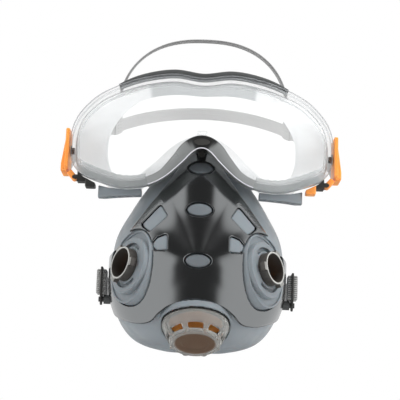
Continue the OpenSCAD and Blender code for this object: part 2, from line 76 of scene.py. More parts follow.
LARGE_WINDOW = [[26.5, 28.5], [39, 14.5], [37.5, 11.5], [33, 7.5], [21, 19]]
SMALL_WINDOW = [[20.6, 6.6], [27.8, 3.8], [31, 0], [30.6, -3], [28.4, -5.8], [20.4, -5.5]]
OVALS = [54, 23, -12]
OVAL_W, OVAL_H = 18.0, 10.5
LENS_HALF = [[0, 114.2], [19.3, 116.9], [38, 115.6], [54.4, 112.3], [72.6, 106], [86.3, 95.5],
             [91.9, 84], [92.1, 70], [90, 60.5], [82, 51.5], [63, 42.4], [50, 39.4], [35.2, 40.4],
             [24, 45.6], [13.4, 54.8], [5.5, 63], [0, 65.2]]
FACE_HALF = [[0, 114], [17, 115], [32, 114], [44, 111], [55, 104], [63.5, 94],
             [68, 83], [68.5, 70], [66, 60], [61, 53], [54, 50], [47, 51], [39, 57],
             [31, 63.5], [21, 72.5], [10, 78.5], [0, 80]]

# ---------------------------------------------------------------- mesh helpers
def catmull(a, b, c, d, t):
    return 0.5 * (2 * b + (c - a) * t + (2 * a - 5 * b + 4 * c - d) * t * t
                  + (3 * b - a - 3 * c + d) * t ** 3)


def smooth_loop(p, n):
    p = np.array(p, float)
    t = (np.arange(n) / n)[None, :, None]
    a, b, c, d = (np.roll(p, k, 0)[:, None] for k in (1, 0, -1, -2))
    return catmull(a, b, c, d, t).reshape(-1, p.shape[1])


def smooth_open(p, n):
    """Points on a smooth open line through p, n to a span."""
    p = np.array(p, float)
    q = np.vstack([2 * p[0] - p[1], p, 2 * p[-1] - p[-2]])
    t = (np.arange(n) / n)[:, None]
    return np.vstack([catmull(q[i], q[i + 1], q[i + 2], q[i + 3], t) for i in range(len(p) - 1)] + [p[-1:]])


def mirrored(h):
    return h + [[-x, z] for x, z in h[-2:0:-1]]


def make(name, verts, faces, body, mat, replaces=(), angle=35, tone=None, normals=None):
    """A piece from points in millimetres."""
    me = bpy.data.meshes.new(name)
    me.from_pydata((np.asarray(verts, float) * 0.001).tolist(), [], [list(map(int, f)) for f in faces])
    me.validate()
    me.polygons.foreach_set("use_smooth", np.ones(len(me.polygons), bool))
    if angle < 180:
        me.set_sharp_from_angle(angle=math.radians(angle))
    if tone is not None:
        me.attributes.new("tone", "FLOAT", "POINT").data.foreach_set("value", np.asarray(tone, np.float32))
    if normals is not None:
        me.normals_split_custom_set_from_vertices(normals.tolist())
    o = bpy.data.objects.new(name, me)
    scene.collection.objects.link(o)
    me.materials.append(mat)
    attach(o, body)
    if replaces:
        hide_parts(*replaces)
    return o


def grid_faces(nu, nv, close_u=False, close_v=False):
    i = np.arange(nu if close_u else nu - 1)[:, None]
    j = np.arange(nv if close_v else nv - 1)[None, :]
    a, b = i * nv + j, i * nv + (j + 1) % nv
    c, d = ((i + 1) % nu) * nv + (j + 1) % nv, ((i + 1) % nu) * nv + j
    return np.stack([a, b, c, d], -1).reshape(-1, 4)


def flip(faces):
    return [f[::-1] for f in faces]


def mirror_x(v):
    return v * np.array([-1, 1, 1])


# Signed distances: negative inside
def smax(a, b, k):
    h = np.clip(0.5 + 0.5 * (a - b) / k, 0, 1)
    return b + (a - b) * h + k * h * (1 - h)


def smin(a, b, k):
    return -smax(-a, -b, k)


class Outline:
    """Signed distance to a closed 2D outline, from a fine table."""
    def __init__(self, pts, h=0.4, pad=6.0):
        P = np.array(pts, float)
        self.lo, hi, self.h = P.min(0) - pad, P.max(0) + pad, h
        xs, zs = np.arange(self.lo[0], hi[0] + h, h), np.arange(self.lo[1], hi[1] + h, h)
        X, Z = np.meshgrid(xs, zs, indexing="ij")
        d2, inside = np.full(X.shape, 1e9), np.zeros(X.shape, bool)
        for (ax, az), (bx, bz) in zip(P, np.roll(P, -1, 0)):
            ex, ez, wx, wz = bx - ax, bz - az, X - ax, Z - az
            t = np.clip((wx * ex + wz * ez) / (ex * ex + ez * ez + 1e-12), 0, 1)
            d2 = np.minimum(d2, (wx - ex * t) ** 2 + (wz - ez * t) ** 2)
            inside ^= ((Z >= az) != (Z >= bz)) & (X < ex * (Z - az) / (ez if abs(ez) > 1e-9 else 1e-9) + ax)
        self.D = np.where(inside, -1, 1) * np.sqrt(d2)

    def __call__(self, x, z):
        u = np.clip((x - self.lo[0]) / self.h, 0, self.D.shape[0] - 1.001)
        v = np.clip((z - self.lo[1]) / self.h, 0, self.D.shape[1] - 1.001)
        i, j = u.astype(int), v.astype(int)
        a, b, D = u - i, v - j, self.D
        near, far = D[i, j] * (1 - a) + D[i + 1, j] * a, D[i, j + 1] * (1 - a) + D[i + 1, j + 1] * a
        return near * (1 - b) + far * b


def shrunk(p, r):
    """Corners of a convex clockwise outline moved in by r on every side."""
    p, out = np.array(p, float), []
    for i in range(len(p)):
        a, b, c = p[i - 1], p[i], p[(i + 1) % len(p)]
        t1, t2 = (b - a) / np.linalg.norm(b - a), (c - b) / np.linalg.norm(c - b)
        n1, n2 = np.array([t1[1], -t1[0]]), np.array([t2[1], -t2[0]])
        out.append(b + (n1 + n2) * r / (1 + n1 @ n2))
    return out


def rounded(p, r, **k):
    o = Outline(shrunk(p, r), **k)
    return lambda x, z: o(x, z) - r


def frame_of(axis):
    w = np.array(axis, float)
    w /= np.linalg.norm(w)
    ay, az = math.acos(w[2]), math.atan2(w[1], w[0])
    cy, sy, cz, sz = math.cos(ay), math.sin(ay), math.cos(az), math.sin(az)
    return np.array([[cz * cy, sz * cy, -sy], [-sz, cz, 0], w])      # rows: local X, Y, Z


PORT_R, VALVE_R = frame_of(PORT_DIR), frame_of(VALVE_DIR)


def local(R, at, x, y, z):
    p = (x - at[0], y - at[1], z - at[2])
    return tuple(R[k][0] * p[0] + R[k][1] * p[1] + R[k][2] * p[2] for k in range(3))


def nets(field, lo, hi, h, rounds=2):
    """Surface of field = 0 as quads (surface nets): its points moved on to it, its faces and its normals.
    The field is worked out only in blocks of 4 x 4 x 4 samples that the surface may pass through."""
    lo = np.array(lo, float)
    n = (np.ceil((np.array(hi) - lo) / h)).astype(int) + 1
    n = ((n + 3) // 4) * 4
    ax = [lo[i] + h * np.arange(n[i]) for i in range(3)]
    cx = [lo[i] + h * (4 * np.arange(n[i] // 4) + 1.5) for i in range(3)]
    C = field(*np.meshgrid(*cx, indexing="ij"))
    near = np.abs(C) < 6.2 * h
    F = np.where(C < 0, -1e3, 1e3).astype(np.float32)
    for k in range(3):
        F, near = np.repeat(F, 4, k), np.repeat(near, 4, k)
    I, J, K = np.nonzero(near)
    F[I, J, K] = field(ax[0][I], ax[1][J], ax[2][K])
    S = F < 0
    cell = tuple(s - 1 for s in F.shape)
    cnt = np.zeros(cell, np.int8)
    for i in (0, 1):
        for j in (0, 1):
            for k in (0, 1):
                cnt += S[i:i + cell[0], j:j + cell[1], k:k + cell[2]]
    idx = np.argwhere((cnt > 0) & (cnt < 8))
    ids = np.full(cell, -1, np.int32)
    ids[tuple(idx.T)] = np.arange(len(idx))
    acc, num = np.zeros((len(idx), 3)), np.zeros(len(idx))
    e = np.eye(3, dtype=int)
    for a in range(3):
        b, c = (a + 1) % 3, (a + 2) % 3
        for i in (0, 1):
            for j in (0, 1):
                o = e[b] * i + e[c] * j
                p = idx + o
                f0, f1 = F[tuple(p.T)], F[tuple((p + e[a]).T)]
                m = (f0 < 0) != (f1 < 0)
                t = np.clip(f0[m] / (f0[m] - f1[m]), 0, 1)
                acc[m] += o + t[:, None] * e[a]
                num[m] += 1
    V = lo + (idx + acc / num[:, None]) * h
    faces = []
    for a in range(3):
        b, c = (a + 1) % 3, (a + 2) % 3
        s0 = [slice(1, cell[0]), slice(1, cell[1]), slice(1, cell[2])]
        s0[a] = slice(0, cell[a])
        s1 = list(s0)
        s1[a] = slice(1, cell[a] + 1)
        P = np.argwhere(S[tuple(s0)] != S[tuple(s1)])
        off = np.ones(3, int)
        off[a] = 0
        P = P + off
        q = np.stack([ids[tuple((P - e[b] - e[c]).T)], ids[tuple((P - e[c]).T)],
                      ids[tuple(P.T)], ids[tuple((P - e[b]).T)]], 1)
        inside = S[tuple(P.T)]
        q[~inside] = q[~inside][:, ::-1]
        faces.append(q)
    faces = np.vstack(faces)
    faces = faces[(faces >= 0).all(1)]

    def grad(V, s):
        g = [field(*(V + np.eye(3)[k] * s).T) - field(*(V - np.eye(3)[k] * s).T) for k in range(3)]
        return np.stack(g, 1) / (2 * s)

    for _ in range(rounds):
        g = grad(V, 0.05)
        step = (field(*V.T) / np.maximum((g * g).sum(1), 0.2))[:, None] * g
        L = np.linalg.norm(step, axis=1, keepdims=True)
        V = V - step * np.minimum(1, 0.5 * h / np.maximum(L, 1e-9))
    g = grad(V, 0.12)
    return V, faces, g / np.maximum(np.linalg.norm(g, axis=1, keepdims=True), 1e-9)


def shape(name, field, lo, hi, h, body, mat, replaces=(), tone=None):
    """The piece whose surface is field = 0."""
    V, F, N = nets(field, lo, hi, h)
    t = None if tone is None else tone(*V.T)
    return make(name, V, F, body, mat, replaces, 180, t, N)


def pair(name, field, lo, hi, h, body, mat, replaces=(), tone=None, bodies=False):
    """The right-hand piece and its mirror image on the left, on two bodies of their own if bodies."""
    V, F, N = nets(field, lo, hi, h)
    t = None if tone is None else tone(*V.T)
    mats = mat if isinstance(mat, tuple) else (mat, mat)
    for side, m in (("right", mats[1]), ("left", mats[0])):
        v, n, f = (V, N, F) if side == "right" else (mirror_x(V), mirror_x(N), F[:, ::-1])
        make(f"{name}_{side}", v, f, f"{body}_{side}" if bodies else body, m,
             [f"{r}_{side}" for r in replaces], 180, t, n)


# ---------------------------------------------------------------- materials
class Mat:
    def __init__(self, name, color, rough, **sockets):
        self.m = bpy.data.materials.new(name)
        self.m.use_nodes = True
        self.t = self.m.node_tree
        self.b = self.t.nodes["Principled BSDF"]
        self.set(**sockets)
        self.color, self.rough = color, rough
        self.coord = self.t.nodes.new("ShaderNodeTexCoord").outputs["Object"]
        self.col = self.rgb(color)
        self.height = None

    def set(self, **sockets):
        for k, v in sockets.items():
            self.b.inputs[k.replace("_", " ")].default_value = v

    def rgb(self, c):
        n = self.t.nodes.new("ShaderNodeRGB")
        n.outputs[0].default_value = (*c, 1)
        return n.outputs[0]

    def link(self, a, b):
        self.t.links.new(a, b)

    def noise(self, scale, detail=3, stretch=(1, 1, 1), rough=0.5):
        mp = self.t.nodes.new("ShaderNodeMapping")
        mp.inputs["Scale"].default_value = stretch
        self.link(self.coord, mp.inputs["Vector"])
        n = self.t.nodes.new("ShaderNodeTexNoise")
        n.inputs["Scale"].default_value = scale
        n.inputs["Detail"].default_value = detail
        n.inputs["Roughness"].default_value = rough
        self.link(mp.outputs[0], n.inputs["Vector"])
        return n.outputs["Fac"]

    def ramp(self, v, lo, hi, a=0.0, b=1.0):
        n = self.t.nodes.new("ShaderNodeMapRange")
        n.interpolation_type = "SMOOTHSTEP"
        for k, x in zip(("From Min", "From Max", "To Min", "To Max"), (lo, hi, a, b)):
            n.inputs[k].default_value = x
        self.link(v, n.inputs["Value"])
        return n.outputs[0]

    def math(self, op, a, b):
        n = self.t.nodes.new("ShaderNodeMath")
        n.operation = op
        for i, v in enumerate((a, b)):
            if isinstance(v, (int, float)):
                n.inputs[i].default_value = v
            else:
                self.link(v, n.inputs[i])
        return n.outputs[0]

    def mix(self, fac, color, kind="MIX"):
        """Lays color over what is there, where fac is 1."""
        n = self.t.nodes.new("ShaderNodeMix")
        n.data_type, n.blend_type = "RGBA", kind
        self.link(fac, n.inputs["Factor"])
        self.link(self.col, n.inputs[6])
        if isinstance(color, tuple):
            n.inputs[7].default_value = (*color, 1)
        else:
            self.link(color, n.inputs[7])
        self.col = n.outputs[2]
        return self

    def attr(self, name="tone"):
        n = self.t.nodes.new("ShaderNodeAttribute")
        n.attribute_name = name
        return n.outputs["Fac"]

    def axis(self, k):
        n = self.t.nodes.new("ShaderNodeSeparateXYZ")
        self.link(self.coord, n.inputs[0])
        return n.outputs[k]

    def speckle(self, amount=0.25, scale=60, dark=(0.0, 0.0, 0.0)):
        """Slow variation of the colour over the piece."""
        return self.mix(self.ramp(self.noise(scale, 4), 0.35, 0.75, 0, amount), dark)

    def bump(self, h, strength, dist):
        n = self.t.nodes.new("ShaderNodeBump")
        n.inputs["Strength"].default_value = strength
        n.inputs["Distance"].default_value = dist
        self.link(h, n.inputs["Height"])
        if self.height is not None:
            self.link(self.height, n.inputs["Normal"])
        self.height = n.outputs[0]
        return self

    def done(self, rough_noise=80, spread=0.08):
        low, high = max(0.0, self.rough - spread), self.rough + spread
        r = self.ramp(self.noise(rough_noise, 3), 0.3, 0.7, low, high)
        self.link(r, self.b.inputs["Roughness"])
        self.link(self.col, self.b.inputs["Base Color"])
        if self.height is not None:
            self.link(self.height, self.b.inputs["Normal"])
        return self.m


def bevelled(M, radius):
    n = M.t.nodes.new("ShaderNodeBevel")
    n.samples = 4
    n.inputs["Radius"].default_value = radius
    M.height = n.outputs[0]
    return M


M = Mat("mask_silicone", (0.185, 0.208, 0.226), 0.42, Specular_IOR_Level=0.4, Subsurface_Weight=0.08,
        Subsurface_Scale=0.002, Sheen_Weight=0.05)
# Where tone is 1 the silicone is painted near black: painted shade round the pads and inside the ovals.
M.mix(M.attr(), (0.02, 0.022, 0.025)).speckle(0.10, 40, (0.17, 0.20, 0.22))
M.bump(M.noise(2600, 2), 0.12, 0.0002).bump(M.noise(90, 2), 0.08, 0.001)
SILICONE = M.done(120, 0.07)

M = Mat("cover_plastic", (0.27, 0.28, 0.285), 0.17, Metallic=1.0, Specular_IOR_Level=0.5)
# Where tone is 1 the cover is painted near black: painted shade inside its openings and behind.
M.mix(M.attr(), (0.015, 0.015, 0.015)).speckle(0.08, 25, (0.22, 0.22, 0.22))
M.bump(M.noise(3200, 2), 0.02, 0.00003)
COVER_MAT = M.done(60, 0.02)

M = Mat("gunmetal_plastic", (0.075, 0.078, 0.078), 0.4, Metallic=0.15, Specular_IOR_Level=0.35)
bevelled(M, 0.0005)
M.speckle(0.15, 40, (0.04, 0.04, 0.04)).bump(M.noise(2800, 2), 0.12, 0.0001)
GUNMETAL = M.done()

M = bevelled(Mat("dark_plastic", (0.035, 0.034, 0.032), 0.42, Specular_IOR_Level=0.5), 0.0004)
M.speckle(0.3, 60, (0.015, 0.015, 0.014)).bump(M.noise(2500, 2), 0.15, 0.00015)
DARK = M.done()

M = Mat("bridge_plastic", (0.25, 0.26, 0.26), 0.34, Metallic=0.35, Coat_Weight=0.2, Coat_Roughness=0.2)
# Where tone is 1 the bridge is near black: the dark nose clip's own colour in the middle, painted shade
# along the inner edge.
M.mix(M.attr(), (0.02, 0.02, 0.02)).speckle(0.12, 60, (0.12, 0.12, 0.12))
M.bump(M.noise(2600, 2), 0.06, 0.0001)
BRIDGE_MAT = M.done()

# Painted highlight: a thin pale bead along the nose bridge's outer edge stands in for the bright highlight
# line there.
M = Mat("painted_highlight_line", (0.60, 0.60, 0.64), 0.15, Specular_IOR_Level=0.6)
M.speckle(0.2, 90, (0.6, 0.6, 0.65)).bump(M.noise(700, 2), 0.05, 0.0002)
HIGHLIGHT_LINE_MAT = M.done()

M = Mat("port_tube_plastic", (0.05, 0.045, 0.04), 0.38, Specular_IOR_Level=0.5)
# Where tone is 1 the dark tube is painted pale: a painted highlight along its rim.
M.mix(M.attr(), (0.42, 0.42, 0.40)).speckle(0.15, 70, (0.02, 0.02, 0.02))
M.bump(M.noise(2500, 2), 0.12, 0.00015)
TUBE_MAT = M.done()

M = Mat("orange_plastic", (0.90, 0.33, 0.07), 0.42, Specular_IOR_Level=0.5, Subsurface_Weight=0.2,
        Subsurface_Scale=0.002)
M.speckle(0.12, 50, (0.75, 0.20, 0.03)).bump(M.noise(2400, 2), 0.12, 0.00015)
ORANGE = M.done()

M = Mat("valve_silicone", (0.72, 0.26, 0.03), 0.45, Specular_IOR_Level=0.4, Subsurface_Weight=0.2,
        Subsurface_Scale=0.002)
bevelled(M, 0.0002)
M.speckle(0.2, 60, (0.5, 0.15, 0.01)).bump(M.noise(1500, 2), 0.1, 0.0002)
FLAP_MAT = M.done()

M = Mat("strap_silicone", (0.19, 0.19, 0.19), 0.5, Specular_IOR_Level=0.45, Sheen_Weight=0.2)
M.speckle(0.25, 30, (0.06, 0.06, 0.06)).bump(M.noise(1800, 3), 0.2, 0.0002)
STRAP = M.done(50)

# Painted light: a lighter copy of the strap silicone, for the haze the rear strap gets seen through the
# lens; also used on the strap keepers.
M = Mat("rear_strap_silicone_painted_lighter", (0.42, 0.42, 0.42), 0.55, Specular_IOR_Level=0.4, Sheen_Weight=0.2)
M.speckle(0.2, 30, (0.33, 0.33, 0.33)).bump(M.noise(1800, 3), 0.2, 0.0002)
STRAP_PAINTED_LIGHTER = M.done(50)

M = Mat("skirt_silicone", (0.86, 0.88, 0.89), 0.45, Subsurface_Weight=0.7, Subsurface_Scale=0.006,
        Specular_IOR_Level=0.4)
M.b.inputs["Subsurface Radius"].default_value = (1, 1, 1)
# Where tone is 1 the skirt turns grey; along its top, under the brow, this is painted shade.
M.mix(M.attr(), (0.42, 0.44, 0.45)).speckle(0.1, 30, (0.7, 0.73, 0.75)).bump(M.noise(1500, 3), 0.1, 0.0002)
SKIRT = M.done()

M = Mat("lens_clear", (0.97, 0.98, 0.98), 0.04, Alpha=0.10, Specular_IOR_Level=0.5, IOR=1.45)
M.speckle(0.05, 20, (0.9, 0.92, 0.94)).bump(M.noise(12, 2), 0.03, 0.002)
LENS_MAT = M.done(30, 0.02)



def clear_moulding(name, color, low_color, rough, face_on, edge_on):
    """Clear plastic that shows a grey outline where it is seen edge on, a painted reflection of the dark
    surroundings seen through its round edges, and low_color where tone is 1.
    """
    M = Mat(name, color, rough, Specular_IOR_Level=0.5)
    w = M.t.nodes.new("ShaderNodeLayerWeight")
    w.inputs["Blend"].default_value = 0.5
    # Painted reflection: more opaque, so grey, where seen edge on.
    edge = M.ramp(w.outputs["Facing"], 0.45, 0.92, face_on, edge_on)
    tone = M.attr()
    M.link(M.math("MAXIMUM", edge, M.ramp(tone, 0.0, 1.0, 0.0, 0.8)), M.b.inputs["Alpha"])
    M.mix(tone, low_color).speckle(0.15, 60, (0.4, 0.42, 0.43))
    return M.done(60, 0.03)


RIM_MAT = clear_moulding("rim_clear", (0.30, 0.31, 0.32), (0.55, 0.57, 0.58), 0.12, 0.05, 1.0)
FRAME_MAT = clear_moulding("frame_clear", (0.62, 0.65, 0.66), (0.30, 0.32, 0.32), 0.2, 0.08, 0.6)

M = Mat("smoke_plastic", (0.52, 0.52, 0.50), 0.12, Transmission_Weight=0.7, IOR=1.25)
# Over the flat face the cap is less clear and dark brown: partly its own tint, partly painted shade for the
# dark inside behind it.
M.link(M.ramp(M.attr(), 0.0, 1.0, 0.7, 0.1), M.b.inputs["Transmission Weight"])
M.mix(M.attr(), (0.10, 0.065, 0.045)).speckle(0.15, 60, (0.2, 0.16, 0.12))
M.bump(M.noise(500, 2), 0.08, 0.0003)
SMOKE = M.done(90, 0.04)


def webbing_material(name, color):
    M = Mat(name, color, 0.85, Sheen_Weight=0.5, Specular_IOR_Level=0.2)
    weave = None
    for k, rot in ((0, 0.785), (1, -0.785)):
        mp = M.t.nodes.new("ShaderNodeMapping")
        mp.inputs["Rotation"].default_value = (rot, 0, 0)
        M.link(M.coord, mp.inputs["Vector"])
        w = M.t.nodes.new("ShaderNodeTexWave")
        w.bands_direction = "Z"
        w.inputs["Scale"].default_value = 320
        w.inputs["Distortion"].default_value = 0.6
        M.link(mp.outputs[0], w.inputs["Vector"])
        weave = w.outputs["Fac"] if weave is None else M.math("MULTIPLY", weave, w.outputs["Fac"])
    M.mix(M.ramp(weave, 0.1, 0.7, 0.75, 0), (color[0] * 0.28, color[1] * 0.28, color[2] * 0.28))
    M.speckle(0.3, 900, (0.08, 0.08, 0.08)).bump(weave, 0.9, 0.0006).bump(M.noise(4000, 2), 0.4, 0.0002)
    return M.done()


WEBBING = webbing_material("webbing", (0.55, 0.55, 0.54))

# CAD nodes that keep their shape
SIDES = ("left", "right")
KEPT = {"exhalation_seat": DARK, "exhalation_flap": FLAP_MAT, "nose_peg": DARK}
for kept, kept_mat in (("port_nut", DARK), ("inhalation_seat", DARK), ("inhalation_flap", FLAP_MAT),
                       ("buckle_mount", GUNMETAL), ("latch_housing", DARK), ("clip_pivot", DARK),
                       ("latch_pin", DARK)):
    KEPT.update({f"{kept}_{side}": kept_mat for side in SIDES})
for kept, kept_mat in KEPT.items():
    NODES[kept].data.materials.clear()
    NODES[kept].data.materials.append(kept_mat)

# ---------------------------------------------------------------- half mask
_a = np.arange(0, 180.01, 0.5)


def _table(v):
    s = _a / 22.5
    i = np.minimum(s.astype(int), 7)
    j = np.where(i + 2 > 8, 7, i + 2)
    v = np.array(v, float)
    return catmull(v[np.abs(i - 1)], v[i], v[i + 1], v[j], s - i)


T_R, T_BACK, T_FULL = _table(SEAL_R), _table(SEAL_BACK), _table(SEAL_FULL)


def dome(x, y, z):
    """Offset from the mask's outer surface, negative inside, then the seal's radius and edge at that
    angle, and the distance from the middle."""
    dz = z - MID_Z
    rho = np.hypot(x, dz)
    a = np.degrees(np.arctan2(np.abs(x), dz))
    R, back, n = np.interp(a, _a, T_R), np.interp(a, _a, T_BACK), np.interp(a, _a, T_FULL)
    Y, H = np.maximum(-y - back, 0), DEPTH - back
    d = np.zeros_like(rho)
    for _ in range(5):
        rd, hd = np.maximum(R + d, 5), np.maximum(H + d, 5)
        un, vn = (rho / rd) ** n, (Y / hd) ** n
        s = np.maximum(un + vn, 1e-9)
        g = s ** (1 / n)
        d = np.clip(d + (g - 1) / ((un / rd + vn / hd) * g / s + 1e-9), -40, 60)
    return d, R, back, rho


oval_line = Outline([[OVAL_W / 2 * math.cos(t), OVAL_H / 2 * math.sin(t)]
                     for t in np.linspace(0, -2 * math.pi, 48, endpoint=False)], h=0.2, pad=4)
cover_line = Outline(smooth_loop(mirrored(COVER_HALF), 6))
big_window, little_window = rounded(LARGE_WINDOW, 1.8, h=0.25), rounded(SMALL_WINDOW, 1.8, h=0.25)


def ovals(x, z):
    f = oval_line(x, z - OVALS[0])
    for zz in OVALS[1:]:
        f = np.minimum(f, oval_line(x, z - zz))
    return f


def side_windows(x, z, deep):
    """The slanting windows. Going in by deep, they move towards the middle, square to the cover."""
    ax = np.abs(x) + 0.75 * deep
    return np.minimum(big_window(ax, z + 0.25 * deep), little_window(ax, z + 0.05 * deep))


def boss_radius(p):
    """Distance from the port's axis, stretched towards the middle, where the boss is flattened."""
    return np.hypot(p[0], np.where(p[1] < 0, p[1] * BOSS_R / BOSS_INBOARD, p[1]))


def rod(p, r):
    return np.hypot(p[0], p[1]) - r


def facepiece(x, y, z):
    d, R, back, rho = dome(x, y, z)
    shell = smax(smax(d, -(d + WALL), 0.6), y + back - 0.6, 0.8)
    slope = 0.35 * np.maximum(0, (R - rho) / LIP_W)
    lip = smax(np.abs(y + back - 0.1 - slope) - 0.9, smax(rho - R, R - LIP_W - rho, 0.5), 0.9)
    f = smin(shell, lip, 1.6)
    front = y < -30
    deep = COVER_OUT - d
    pads = np.minimum(ovals(x, z) + 0.9, side_windows(x, z, deep) + 0.35)
    f = np.where(front, smin(f, smax(smax(d - 2.0, -d - 2, 0.4), pads, 1.0), 0.5), f)
    p = local(PORT_R, PORT_AT, np.abs(x), y, z)
    f = smax(f, BOSS_R - boss_radius(p), 0.3)
    v = local(VALVE_R, VALVE_AT, x, y, z)
    ring = smax(np.abs(np.hypot(v[0], v[1]) - 23.6) - 0.75, np.abs(v[2] + 1.0) - 2.2, 0.5)
    f = smin(f, ring, 0.8)
    f = smax(f, -smax(rod(v, NECK_R), -v[2] - 16, 0.3), 0.3)
    return smax(f, -smax(rod(v, COLLAR_R), -v[2] - 1, 0.3), 0.3)


def facepiece_painted_shade(x, y, z):
    """Painted shade: dark in the gap round each pad that shows through the cover, and a lighter painted
    shade inside the ovals.
    """
    d = dome(x, y, z)[0]
    pads = np.minimum(ovals(x, z) + 1.1, side_windows(x, z, COVER_OUT - d) + 0.7)
    gap = np.clip(pads / 0.5, 0, 1) * np.clip((2.2 - pads) / 0.6, 0, 1) * 0.85
    return np.where((y < -30) & (d > -0.5), np.maximum(gap, np.clip(0.5 - ovals(x, z), 0, 1) * 0.4), 0)


shape("facepiece_silicone", facepiece, [-67, -76, -70], [67, 4, 75], 0.9, "half_mask",
      SILICONE, ["facepiece"], facepiece_painted_shade)


def cover(x, y, z):
    d, R, back, rho = dome(x, y, z)
    f = smax(smax(d - COVER_OUT, COVER_IN - d, 0.5), cover_line(x, z), 0.9)
    f = smax(f, y + 20, 0.6)
    deep = np.clip(COVER_OUT - d, -1, 3.5)
    f = smax(f, -np.minimum(ovals(x, z), side_windows(x, z, deep)), 0.7)
    p = local(PORT_R, PORT_AT, np.abs(x), y, z)
    return smax(f, BOSS_R + 0.9 - boss_radius(p), 0.7)


def cover_painted_shade(x, y, z):
    """Painted shade: dark inside the openings and behind."""
    d = dome(x, y, z)[0]
    return np.clip((2.3 - d) / 0.8, 0, 1)


shape("front_cover_shell", cover, [-70, -76, -56], [70, -18, 68], 0.6, "half_mask",
      COVER_MAT, ["front_cover"], cover_painted_shade)


def boss(x, y, z):
    p = local(PORT_R, PORT_AT, x, y, z)
    r, h = np.hypot(p[0], p[1]), p[2]
    rb = boss_radius(p)
    f = smax(smax(rb - BOSS_R, h, 0.5), -10 - h, 0.4)
    f = smin(f, smax(smax(rb - BOSS_R, BOSS_R - 1.5 - rb, 0.3), np.abs(h) - 1, 0.3), 0.25)
    f = smin(f, smax(r - DISC_R, np.abs(h - DISC_H / 2) - DISC_H / 2, 0.4), 0.25)
    ang = np.degrees(np.arctan2(p[1], p[0]))
    away = np.abs((ang - 90 + 180) % 360 - 180)          # from the middle of the groove's sweep
    groove = smax(smax(np.abs(r - 13.9) - 1.3, DISC_H - 2.6 - h, 0.2), (away - 135) * 0.24, 0.3)
    f = smax(f, -groove, 0.3)
    f = smax(f, -smax(r - BOSS_INBOARD + 2.8, h + 7, 0.3), 0.3)
    return smax(f, TUBE_R - r, 0.25)


pair("port_boss_silicone", boss, PORT_AT - [32, 32, 30], PORT_AT + [32, 28, 30], 0.45, "half_mask",
     SILICONE, ["port_boss"])


def turned(p, a):
    """p's first two coordinates along and across a line at angle a."""
    return p[0] * math.cos(a) + p[1] * math.sin(a), -p[0] * math.sin(a) + p[1] * math.cos(a)


def tube(x, y, z):
    p = local(PORT_R, PORT_AT, x, y, z)
    r, h = np.hypot(p[0], p[1]), p[2]
    f = smax(smax(r - TUBE_R, h - TUBE_RISE, 0.35), -10 - h, 0.3)
    for k in range(3):
        a = math.radians(-90 + 120 * k)
        u, v = turned(p, a)
        band = smax(np.abs(v) - 2.8, np.abs(h - TUBE_RISE + 2.1) - 1.9, 0.3)
        lug = smax(smax(r - TUBE_R - 2.4, 5 - u, 0.3), band, 0.35)
        f = smin(f, lug, 0.3)
    f = smax(f, -smax(r - BORE_R, -h, 0.4), 0.35)
    return smax(f, THROAT_R - r, 0.3)


def tube_painted_highlight(x, y, z):
    """Painted highlight: pale at the rim."""
    p = local(PORT_R, PORT_AT, x, y, z)
    return np.clip((p[2] - TUBE_RISE + 0.3) / 0.2, 0, 1)


pair("filter_tube", tube, PORT_AT - [18, 22, 20], PORT_AT + [24, 18, 20], 0.34, "half_mask",
     TUBE_MAT, ["filter_port"], tube_painted_highlight)

# ---------------------------------------------------------------- exhalation valve


def collar(x, y, z):
    v = local(VALVE_R, VALVE_AT, x, y, z)
    r, h = np.hypot(v[0], v[1]), v[2]
    teeth = 0.35 * np.clip(np.cos(48 * np.arctan2(v[1], v[0])) * 2, -1, 1)
    f = smax(smax(r - 22.1 - teeth, NECK_R - r, 0.3), np.abs(h - 0.3) - 1.3, 0.4)
    return np.minimum(f, smax(smax(r - NECK_R, 15.5 - r, 0.2), np.abs(h + 5) - 5, 0.3))


shape("exhalation_collar_ring", collar, VALVE_AT - [24, 24, 18], VALVE_AT + [24, 24, 14], 0.45,
      "half_mask", DARK, ["exhalation_collar"])
CAP_SECTION = [[22.2, 1.9], [22.2, 4], [17.5, 13], [16.5, 16], [13.5, 16], [12.9, 15.4], [0, 15.4],
               [0, 14], [15.1, 14], [20.4, 4], [20.4, 1.9]]
CAP_WINDOWS = 8
cap_line = Outline(CAP_SECTION, h=0.12, pad=3)


def cap(x, y, z):
    v = local(VALVE_R, VALVE_AT, x, y, z)
    r, h = np.hypot(v[0], v[1]), v[2]
    f = cap_line(r, h)
    for k in range(CAP_WINDOWS):
        u, w = turned(v, k * 2 * math.pi / CAP_WINDOWS)
        window = smax(smax(10 - u, np.abs(w) - 5, 0.3), np.abs(h - 11.4) - 1.9, 0.4)
        f = smax(f, -window, 0.3)
        u, w = turned(v, (k + 0.5) * 2 * math.pi / CAP_WINDOWS)
        f = smin(f, smax(np.hypot(u - 15.9, w) - 1.9, np.abs(h - 13.75) - 2.25, 0.3), 0.4)
        wall = 22.2 - np.clip(h - 4, 0, 12) * 0.47
        rib = smax(np.abs(w) - 0.5, np.abs(u - wall + 0.3) - 0.55, 0.2)
        f = smin(f, smax(rib, np.abs(h - 8) - 4.5, 0.3), 0.3)
    return smax(f, -smax(r - 9.0, 15.0 - h, 0.2), 0.25)


def cap_face_tint_and_shade(x, y, z):
    """Dark over the flat face: partly the smoke plastic's own brown, partly painted shade for the dark
    inside seen through it.
    """
    v = local(VALVE_R, VALVE_AT, x, y, z)
    return np.clip((v[2] - 13.6) / 0.6, 0, 1) * np.clip(14.2 - np.hypot(v[0], v[1]), 0, 1)


shape("exhalation_cap_shell", cap, VALVE_AT - [24, 32, 26], VALVE_AT + [24, 22, 12], 0.34,
      "exhalation_cap", SMOKE, ["exhalation_cap"], cap_face_tint_and_shade)

